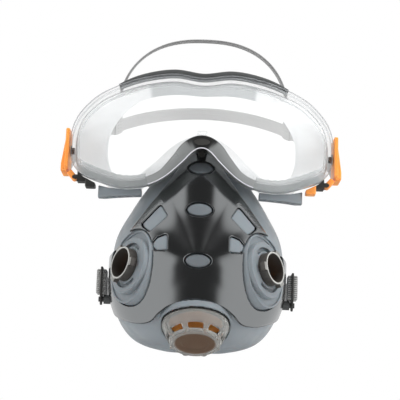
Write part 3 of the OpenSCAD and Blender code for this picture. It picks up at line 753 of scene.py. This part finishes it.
# ---------------------------------------------------------------- goggles
LOOP = smooth_loop(mirrored(LENS_HALF), 10)
FACE = smooth_loop(mirrored(FACE_HALF), 10)


def normals_in(p):
    t = np.roll(p, -1, 0) - np.roll(p, 1, 0)
    n = np.stack([t[:, 1], -t[:, 0]], 1)
    return n / np.linalg.norm(n, axis=1, keepdims=True)


def nose_weight(p):
    return np.where(p[:, 1] > 80, 0, np.maximum(0, 1 - np.abs(p[:, 0]) / 26))


N_IN, N_FACE = normals_in(LOOP), normals_in(FACE)


def inset(p, n, side, nose):
    return p + n * (side + (nose - side) * nose_weight(p))[:, None]


def on_wrap(q, r):
    return np.stack([q[:, 0], WRAP_Y - np.sqrt(np.maximum(r * r - q[:, 0] ** 2, 1)), q[:, 1]], 1)


def rounded_section(w0, w1, r0, r1, rad, k=4):
    """Points round a rectangle in (inset, radius) with round corners."""
    out = []
    for cw, cr, a0 in ((w1 - rad, r1 - rad, 0), (w0 + rad, r1 - rad, 90),
                       (w0 + rad, r0 + rad, 180), (w1 - rad, r0 + rad, 270)):
        for i in range(k + 1):
            a = math.radians(a0 + 90 * i / k)
            out.append((cw + rad * math.cos(a), cr + rad * math.sin(a)))
    return out


def band_points(section, idx, widths=None):
    """Rings of a section carried along part of the lens's outline, its insets scaled by widths."""
    P, N = LOOP[idx], N_IN[idx]
    scale = np.ones(len(idx)) if widths is None else widths[idx]
    # (along, round, 3)
    return np.stack([on_wrap(P + N * (w * scale)[:, None], r) for w, r in section], 1)


def tube_mesh(rings):
    """Rings joined into a tube with flat ends."""
    n, m, _ = rings.shape
    F = grid_faces(n, m, False, True).tolist()
    return rings.reshape(-1, 3), F + [list(range(m))[::-1], list(range((n - 1) * m, n * m))]


# Clear lens and its thick rim
NOSE = (np.abs(LOOP[:, 0]) < 36) & (LOOP[:, 1] < 79)
LENS_IN = LOOP + N_IN * np.where(NOSE, 5.6, 4.6)[:, None]


def plate(r):
    """Rows across the lens between its lower and upper edges."""
    top = LENS_IN[LENS_IN[:, 1] > 80]
    low = LENS_IN[LENS_IN[:, 1] <= 80]
    top, low = top[np.argsort(top[:, 0])], low[np.argsort(low[:, 0])]
    half = min(top[-1, 0], low[-1, 0]) - 0.05
    xs = half * np.sin(np.linspace(-math.pi / 2, math.pi / 2, 141))
    zt, zl = np.interp(xs, top[:, 0], top[:, 1]), np.interp(xs, low[:, 0], low[:, 1])
    t = np.linspace(0, 1, 17)[None, :]
    Z = zl[:, None] * (1 - t) + zt[:, None] * t
    X = np.repeat(xs[:, None], 17, 1)
    return np.stack([X, WRAP_Y - np.sqrt(r * r - X ** 2), Z], -1)


A, B = plate(119.7), plate(118.1)
n, m = A.shape[:2]
g = grid_faces(n, m)
edge = [i * m for i in range(n)] + [(n - 1) * m + j for j in range(1, m)]
edge += [i * m + m - 1 for i in range(n - 2, -1, -1)] + list(range(m - 2, 0, -1))
rim_faces = [[a, b, n * m + b, n * m + a] for a, b in zip(edge, edge[1:] + edge[:1])]
plate_faces = flip(g.tolist()) + (g + n * m).tolist() + rim_faces
make("lens_plate", np.vstack([A.reshape(-1, 3), B.reshape(-1, 3)]), plate_faces,
     "goggles", LENS_MAT, (), 60)

# The rim and the carrier behind it run round from one side of the nose to the other
rim_idx = np.nonzero((np.abs(LOOP[:, 0]) > 34.6) | (LOOP[:, 1] > 80))[0]
first = int(np.nonzero((LOOP[rim_idx, 0] < 0) & (LOOP[rim_idx, 1] < 80))[0][0])
rim_idx = np.concatenate([rim_idx[first:], rim_idx[:first]])
V, F = tube_mesh(band_points(rounded_section(0.15, 5.5, 116.05, 120.8, 1.1), rim_idx))
make("lens_rim", V, F, "goggles", RIM_MAT, ["lens"], 50)
low = np.clip((64 - LOOP[:, 1]) / 12, 0, 1)      # 1 along the lower edge
waves = 0.5 * low * np.abs(np.sin(LOOP[:, 0] * 0.55))
carrier_section = rounded_section(0.5, 6, 110.05, 115.9, 0.8)
V, F = tube_mesh(band_points(carrier_section, rim_idx, 1 + low * (9.4 / 6 - 1) - waves / 6))
make("lens_carrier", V, F, "goggles", FRAME_MAT, ["lens_frame"], 50,
     np.repeat(low[rim_idx], len(carrier_section)))


def across_front(where):
    """The outline's points where it is so, from left to right."""
    idx = np.nonzero(where)[0]
    return idx[np.argsort(LOOP[idx, 0])]


brow_out = np.maximum(0.02, 1 - (np.abs(LOOP[:, 0]) / 62) ** 4)
brow_idx = across_front((LOOP[:, 1] > 100) & (np.abs(LOOP[:, 0]) < 59.5))
V, F = tube_mesh(band_points(rounded_section(-3.2, -0.05, 106.1, 119.4, 1.1, 4), brow_idx, brow_out))
make("brow_bar_moulding", V, F, "goggles", GUNMETAL, ["brow_bar"], 50)

nose_idx = across_front((LOOP[:, 1] < 79) & (np.abs(LOOP[:, 0]) < 35.8))
nose_section = rounded_section(0.3, 9.2, 110.1, 120.6, 1.3)
narrow = 1 - 0.34 * np.clip((np.abs(LOOP[:, 0]) - 8) / 16, 0, 1)
V, F = tube_mesh(band_points(nose_section, nose_idx, narrow))
in_from_edge = np.tile([w for w, r in nose_section], len(nose_idx))
# Dark in the middle, where the dark nose clip is.
dark = np.clip((3.5 + 0.85 * in_from_edge - np.abs(V[:, 0])) / 1.2 + 0.5, 0, 1)
# Painted shade along the band's inner edge.
dark = np.maximum(dark, np.clip((in_from_edge - 8.3) / 0.8, 0, 0.8))
make("nose_bridge_moulding", V, flip(F), "goggles", BRIDGE_MAT, ["nose_bridge"], 50, dark)
# A thin pale tube along the bridge's outer edge: a painted highlight line.
highlight_line_section = [(0.45 + 0.35 * math.cos(t), 120.45 + 0.35 * math.sin(t)) for t in np.arange(8) * math.pi / 4]
V, F = tube_mesh(band_points(highlight_line_section, nose_idx))
make("nose_bridge_painted_highlight", V, flip(F), "goggles", HIGHLIGHT_LINE_MAT, (), 60)


def badge(x, y, z):
    r = np.hypot(x, y - WRAP_Y)
    oval = np.hypot(x, (z - 69.6) * 2.3) - 5.2
    return smax(oval * 0.6, np.abs(r - 120.5) - 0.6, 0.4)


shape("nose_badge_plain", badge, [-7, -61, 66], [7, -56, 73], 0.3, "goggles", DARK)


def clear_tab(x, y, z):
    r = np.hypot(x, y - WRAP_Y)
    return smax(smax(np.abs(x) - 3.4, np.abs(z - 75.9) - 1.5, 0.4), np.abs(r - 119.4) - 0.9, 0.4)


shape("nose_clear_tab", clear_tab, [-5, -61, 73], [5, -55, 79], 0.3, "goggles", FRAME_MAT)


def socket(x, y, z):
    f = smax(smax(np.abs(x) - 4.2, np.abs(y + 42.7) - 6.4, 0.8), np.abs(z - 69.6) - 3.0, 0.8)
    return smax(f, 2.5 - np.hypot(x, y + 40.5), 0.2)


shape("nose_socket", socket, [-6, -51, 65], [6, -34, 74], 0.4, "goggles", GUNMETAL)

# Skirt: rows from the frame back to the face and out along its flange
skirt_front = inset(LOOP, N_IN, 3.0, 10.8)


def face_y(q):
    nose = np.where(q[:, 1] > 86, 0, np.maximum(0, 1 - np.abs(q[:, 0]) / 30))
    return -13 + 15 * (q[:, 0] / 68) ** 2 - 10 * nose


def at_face(d, h):
    q = FACE + N_FACE * d
    return np.stack([q[:, 0], face_y(q) + h, q[:, 1]], 1)


r0, r1, rb = on_wrap(skirt_front, 109.9), on_wrap(skirt_front, 107.0), at_face(0.0, -1.0)
rings = [r0, r1, r1 + (rb - r1) * 0.3, r1 + (rb - r1) * 0.62, rb,
         at_face(-1.2, 0.9), at_face(-4, 1.3), at_face(-6.9, 1.4)]
S = np.stack([smooth_open([r[i] for r in rings], 5) for i in range(len(LOOP))])      # (along, back, 3)
n, m = S.shape[:2]
g = grid_faces(n, m, True, False)
middle = S.reshape(-1, 3)[g].mean(1)
off_x = np.abs(middle[:, 0])
row = g[:, 0] % m
SLOTS = [(20.5, 25), (26.5, 39.5), (41, 54.5)]      # air slots along the top, either side
in_slot = np.any([(off_x > x0) & (off_x < x1) for x0, x1 in SLOTS], axis=0)
keep = ~((middle[:, 2] > 100) & in_slot & (row >= 5) & (row <= 6))
# Painted shade: grey along the top of the skirt where |x| is under 36 to 38 mm, under the brow.
tone = (1 - np.clip((np.abs(S[..., 0]) - 36) / 2.0, 0, 1)) * np.clip((S[..., 2] - 100) / 4, 0, 1)
# Greyer low at the front, towards the middle.
low_tone = 0.55 * np.clip((62 - S[..., 2]) / 8, 0, 1) * (S[..., 1] < -12)
low_tone = low_tone * np.clip((70 - np.abs(S[..., 0])) / 25, 0, 1)
skirt = make("goggle_skirt_silicone", S.reshape(-1, 3), g[keep].tolist(), "goggles",
             SKIRT, ["goggle_skirt"], 180, np.clip(np.maximum(tone, low_tone), 0, 1).reshape(-1))
wall_mod = skirt.modifiers.new("wall", "SOLIDIFY")
wall_mod.thickness, wall_mod.offset = 0.0017, 1.0

# ---------------------------------------------------------------- harness


clip_line = rounded([[-15, 86.5], [8, 86.5], [10, 57], [-17, 57]], 2.0, h=0.25)
pad_line = rounded([[-13, 79], [6, 79], [8, 55.5], [-15, 55.5]], 1.8, h=0.25)


def clip(x, y, z):
    f = smax(clip_line(y, z), np.abs(x - 94.3) - 1.3, 0.7)
    t = np.clip((79 - z) / 18, 0, 1)
    pad = smax(smax(pad_line(y, z), x - 95.8 - 2.4 * t, 0.8), 94 - x, 0.2)
    f = smin(f, pad, 0.5)
    grooves = smax(smax(np.abs((z - 64) % 3.0 - 1.5) - 0.4, 97.2 - x, 0.2), np.abs(z - 67) - 6, 0.3)
    f = smax(f, -smax(grooves, np.abs(y + 3.5) - 7, 0.4), 0.3)
    return smax(f, -smax(np.hypot(y + 3, z - 72) - 2.45, x - 95.2, 0.2), 0.2)


pair("strap_clip_moulding", clip, [91.5, -19, 53], [99.8, 12, 89], 0.45, "head_harness",
     ORANGE, ["strap_clip"])


def latch(x, y, z):
    u, w = x - 88.6, z - 51.5
    a = math.radians(48)
    # along the lever, which slopes up and out
    p, q = u * math.cos(a) + w * math.sin(a), -u * math.sin(a) + w * math.cos(a)
    v = y + 10
    f = smax(smax(np.abs(p - 2.8) - 2.8, np.abs(q) - 2.0, 0.8), np.abs(v) - 3.9, 0.5)
    f = smin(f, smax(np.hypot(u, w) - 2.0, np.abs(v) - 3.9, 0.4), 0.4)
    return smax(f, 1.15 - np.hypot(u, w), 0.15)


pair("lens_latch_lever", latch, [84, -16, 47], [96, -4, 60], 0.3, "lens_latch", ORANGE,
     ["lens_latch"], bodies=True)

lens_line = Outline(LOOP)


def tab(x, y, z):
    f = smax(smax(np.abs(x - 76.5) - 3.5, np.abs(y + 17) - 5, 0.8), np.abs(z - 47.3) - 3.7, 0.8)
    return smax(f, 0.3 - lens_line(x, z), 0.4)


pair("side_tab_moulding", tab, [71, -24, 42], [82, -10, 53], 0.35, "goggles",
     (DARK, ORANGE), ["side_tab"])

vent_line = rounded([[40, 40.6], [50, 40.6], [63, 42.8], [70.9, 45.6], [71, 37.2], [40, 36.2]], 0.5, h=0.2)


def vent(x, y, z):
    r = np.hypot(x, y - WRAP_Y)
    f = smax(smax(vent_line(x, z), r - 106.6, 0.6), 98 - r, 0.6)
    ang = np.degrees(np.arctan2(x, WRAP_Y - y))
    comb = smax(np.abs((ang - 23) % 3.6 - 1.8) - 1.1, np.abs(r - 102.3) - 1.3, 0.3)
    comb = smax(comb, np.abs(ang - 31.5) - 8, 0.3)
    return smax(f, -smax(comb, 30.5 - z, 0.3), 0.3)


pair("vent_bar_silicone", vent, [38, -50, 34], [73, -12, 47], 0.45, "goggles", SILICONE,
     ["vent_bar"])


def ribbon(name, mid, across, out, width, thick, body, mat, replaces, ridge=0.0):
    """A flat strap along mid, with its edges rounded and shallow ridges along its faces."""
    sec, k = [], 24
    for i in range(k):
        u = -1 + 2 * i / (k - 1)
        edge = (1 - abs(u) ** 10) ** 0.5
        ridges = ridge * math.cos(u * math.pi * 5) * edge * 0.5 - ridge * 0.5
        sec.append((u * width / 2, thick / 2 * (edge + ridges)))
    sec += [(u, -v) for u, v in sec[::-1]]
    P = np.stack([mid + across * u + out * v for u, v in sec], 1)
    V, F = tube_mesh(P)
    return make(name, V, F, body, mat, replaces, 60)


def unit(v):
    return v / np.linalg.norm(v, axis=-1, keepdims=True)


def loop_line(a, b, n, k=181):
    s = np.linspace(0, math.pi, k)
    c, t = np.cos(s), np.sin(s)
    return np.stack([a * np.sign(c) * np.abs(c) ** (2 / n), b * np.maximum(t, 0) ** (2 / n)], 1)


STRAP_X, REAR_REACH, REAR_RISE, CROWN_RISE = 95.1, 145, 77, 66
STRAP_T, RIDGE = 1.5, 0.18      # thickness of the straps as seen, and how deep their ridges are
REAR_AT = np.array([0, 10, 64])
tilt = math.atan(REAR_RISE / REAR_REACH)
REAR_B = math.hypot(REAR_REACH, REAR_RISE)
q = loop_line(STRAP_X - 0.8, REAR_B - 0.8, 2)
ey, ez = np.array([0, math.cos(tilt), math.sin(tilt)]), np.array([0, -math.sin(tilt), math.cos(tilt)])
mid = REAR_AT + q[:, :1] * [1, 0, 0] + q[:, 1:] * ey
tan = unit(np.gradient(mid, axis=0))
ribbon("rear_strap_band", mid, np.repeat(ez[None], len(mid), 0), unit(np.cross(tan, ez)), 10, STRAP_T,
       "head_harness", STRAP_PAINTED_LIGHTER, ["rear_strap"], RIDGE)
JOINT_S = math.radians(44)
joint_x, joint_y = (STRAP_X - 0.8) * math.cos(JOINT_S), (REAR_B - 0.8) * math.sin(JOINT_S)
joint_turn = math.atan2(joint_y * (STRAP_X / REAR_B) ** 2, joint_x)
joint_at = REAR_AT + joint_x * np.array([1, 0, 0]) + joint_y * ey
s = np.linspace(0, 180, 181)
q = loop_line(joint_x, CROWN_RISE, 2.4)
lean = math.radians(-4)
mid = joint_at * [0, 1, 1] + np.array([0, -2, 5])
mid = mid + np.stack([q[:, 0], q[:, 1] * math.sin(lean), q[:, 1] * math.cos(lean)], 1)
tan = unit(np.gradient(mid, axis=0))
slope = np.radians(10 + 20 * np.maximum(0, (s - 90) / 90) ** 2 * (180 - s) / 45)
w = np.stack([0 * s, np.cos(slope), np.sin(slope)], 1)
across = unit(w - tan * (w * tan).sum(1, keepdims=True))
ribbon("crown_strap_band", mid, across, unit(np.cross(tan, across)), 17.8, STRAP_T, "head_harness",
       STRAP, ["crown_strap"], RIDGE)


def keeper(x, y, z):
    """Moulded joint of the crown and rear straps, with pips on both faces."""
    u, w = turned((y - REAR_AT[1], z - REAR_AT[2]), tilt)
    out, along = turned((x - joint_x, u - joint_y), joint_turn)
    f = smax(smax(np.abs(out) - 1.8, np.abs(along) - 5, 0.6), np.abs(w - 1) - 7, 0.6)
    pips = smax(np.hypot((along + 2.5) % 2.5 - 1.25, (w + 20) % 2.5 - 1.25) - 0.5, 1.3 - np.abs(out), 0.3)
    return smax(f, -smax(pips, np.abs(along) - 3.7, 0.2), 0.2)


pair("strap_keeper_loop", keeper, joint_at - [9, 9, 11], joint_at + [9, 9, 12], 0.4, "head_harness",
     STRAP_PAINTED_LIGHTER, ["strap_keeper"])

# ---------------------------------------------------------------- neck strap and buckles
q = loop_line(68.4 - 0.8, 115 - 0.8, 2.2)
mid = np.stack([q[:, 0], -2.2 + q[:, 1], np.full(len(q), -21.0)], 1)
upright = np.repeat(np.array([[0, 0, 1.0]]), len(mid), 0)
tan = unit(np.gradient(mid, axis=0))
ribbon("neck_strap_webbing", mid, upright, unit(np.cross(tan, upright)), 17, STRAP_T, "neck_harness",
       WEBBING, ["neck_strap"])


PLATE_X = 65.8      # middle of the buckle's plate


def buckle(x, y, z):
    f = smax(smax(np.abs(y + 9) - 8, np.abs(z + 21) - 10, 1.2), np.abs(x - PLATE_X) - 0.75, 0.4)
    f = smin(f, smax(np.hypot(y + 10, z + 33) - 4, np.abs(x - PLATE_X) - 0.75, 0.4), 0.6)
    for y0 in (-14, -7):
        f = smax(f, -smax(np.abs(y - y0 - 1.8) - 1.8, np.abs(z + 21) - 8.7, 0.5), 0.3)
    return smax(f, 1.85 - np.hypot(y + 10, z + 33), 0.2)


pair("buckle_plate", buckle, [63.5, -19, -39], [68, 1, -9], 0.34, "neck_harness", DARK,
     ["buckle"])


def webbing(x, y, z):
    """Folded webbing either side of the plate, joined round its front bar."""
    f = None
    for x0, s, t in ((66.6, 1, 1.4), (65.0, -1, 1.3)):
        c = x0 + s * t
        lobe = smax(np.abs(x - c) - t, smax(np.abs(y + 8.25) - 5.6, np.abs(z + 21) - 8.5, 1.0), 1.2)
        crease = smax(np.abs(x - c) - 0.12, -6 - y, 0.2)
        lobe = smax(lobe, -crease, 0.3)
        f = lobe if f is None else np.minimum(f, lobe)
    joint = smax(smax(np.abs(x - PLATE_X) - 1.2, np.abs(y + 12.3) - 1.4, 0.3), np.abs(z + 21) - 8.5, 0.5)
    return np.minimum(f, joint)


pair("webbing_fold", webbing, [61, -16, -32], [71, 0, -10], 0.34, "neck_harness", WEBBING,
     ["webbing_end"])

# ---------------------------------------------------------------- stage and light
me = bpy.data.meshes.new("floor")
FLOOR, FLOOR_Z = 3.0, -0.2
corners = [(x * FLOOR, y * FLOOR, FLOOR_Z) for x, y in ((-1, -1), (1, -1), (1, 1), (-1, 1))]
me.from_pydata(corners, [], [(0, 1, 2, 3)])
floor = bpy.data.objects.new("floor", me)
scene.collection.objects.link(floor)
M = Mat("floor_white", (0.9, 0.9, 0.9), 0.7)
M.speckle(0.03, 5, (0.8, 0.8, 0.8))
me.materials.append(M.done())
floor.visible_glossy = False

world = bpy.data.worlds.new("studio")
scene.world = world
world.use_nodes = True
wt = world.node_tree
bg = wt.nodes["Background"]
lp = wt.nodes.new("ShaderNodeLightPath")
co = wt.nodes.new("ShaderNodeTexCoord")
sep = wt.nodes.new("ShaderNodeSeparateXYZ")
wt.links.new(co.outputs["Generated"], sep.inputs[0])


def wmath(op, a, b=0.0):
    n = wt.nodes.new("ShaderNodeMath")
    n.operation = op
    for i, v in enumerate((a, b)):
        if isinstance(v, (int, float)):
            n.inputs[i].default_value = v
        else:
            wt.links.new(v, n.inputs[i])
    return n.outputs[0]


def wramp(v, lo, hi, a, b):
    n = wt.nodes.new("ShaderNodeMapRange")
    n.interpolation_type = "SMOOTHSTEP"
    for k_, x in zip(("From Min", "From Max", "To Min", "To Max"), (lo, hi, a, b)):
        n.inputs[k_].default_value = x
    wt.links.new(v, n.inputs["Value"])
    return n.outputs[0]


# A light tent: white side walls, back and top, and a dark front. Its walls begin further out at the top.
dir_x, dir_y, dir_z = sep.outputs
wall = wmath("ADD", wramp(dir_z, 0.10, 0.30, 0.30, 0.27), wramp(dir_z, 0.40, 0.66, 0.0, 0.28))
sidew = wramp(wmath("SUBTRACT", wmath("ABSOLUTE", dir_x), wall), -0.05, 0.06, 0.0, 1.0)
rear = wmath("MULTIPLY", wramp(dir_y, -0.25, 0.15, 0.0, 1.0), wramp(dir_z, -0.35, 0.1, 0.0, 1.0))
tent = wmath("MAXIMUM", sidew, rear)
gloss = wmath("ADD", wmath("MULTIPLY", tent, 0.85), 0.07)
above = wramp(dir_z, -0.6, 0.9, 0.15, 1.0)
soft = wmath("ADD", wmath("MULTIPLY", wmath("MULTIPLY", tent, above), 0.85), 0.10)
mirror_ray = lp.outputs["Is Glossy Ray"]
other_ray = wmath("SUBTRACT", 1.0, mirror_ray)
level = wmath("ADD", wmath("MULTIPLY", gloss, mirror_ray), wmath("MULTIPLY", soft, other_ray))
# Camera rays see plain white, and so do rays through clear plastic that go on towards the back
through = wmath("MULTIPLY", lp.outputs["Is Transmission Ray"], wramp(dir_y, 0.45, 0.85, 0.3, 1.0))
seen = wmath("MAXIMUM", lp.outputs["Is Camera Ray"], through)
wt.links.new(wmath("MAXIMUM", level, seen), bg.inputs["Color"])
bg.inputs["Strength"].default_value = 1.0


def area(name, at, to, size, power):
    L = bpy.data.lights.new(name, "AREA")
    L.shape, L.size, L.size_y, L.energy = "RECTANGLE", size[0], size[1], power
    o = bpy.data.objects.new(name, L)
    scene.collection.objects.link(o)
    d = np.array(at, float) - np.array(to, float)
    o.location = at
    o.rotation_euler = Vector(d).to_track_quat("Z", "Y").to_euler()
    o.visible_glossy = False


area("softbox_left", (-0.9, -0.55, 0.25), (0, -0.05, 0), (0.4, 0.8), 4)
area("softbox_right", (0.9, -0.55, 0.35), (0, -0.05, 0), (0.4, 0.8), 7)
area("softbox_top", (0.1, -0.35, 1.0), (0, 0, 0), (0.6, 0.4), 9)
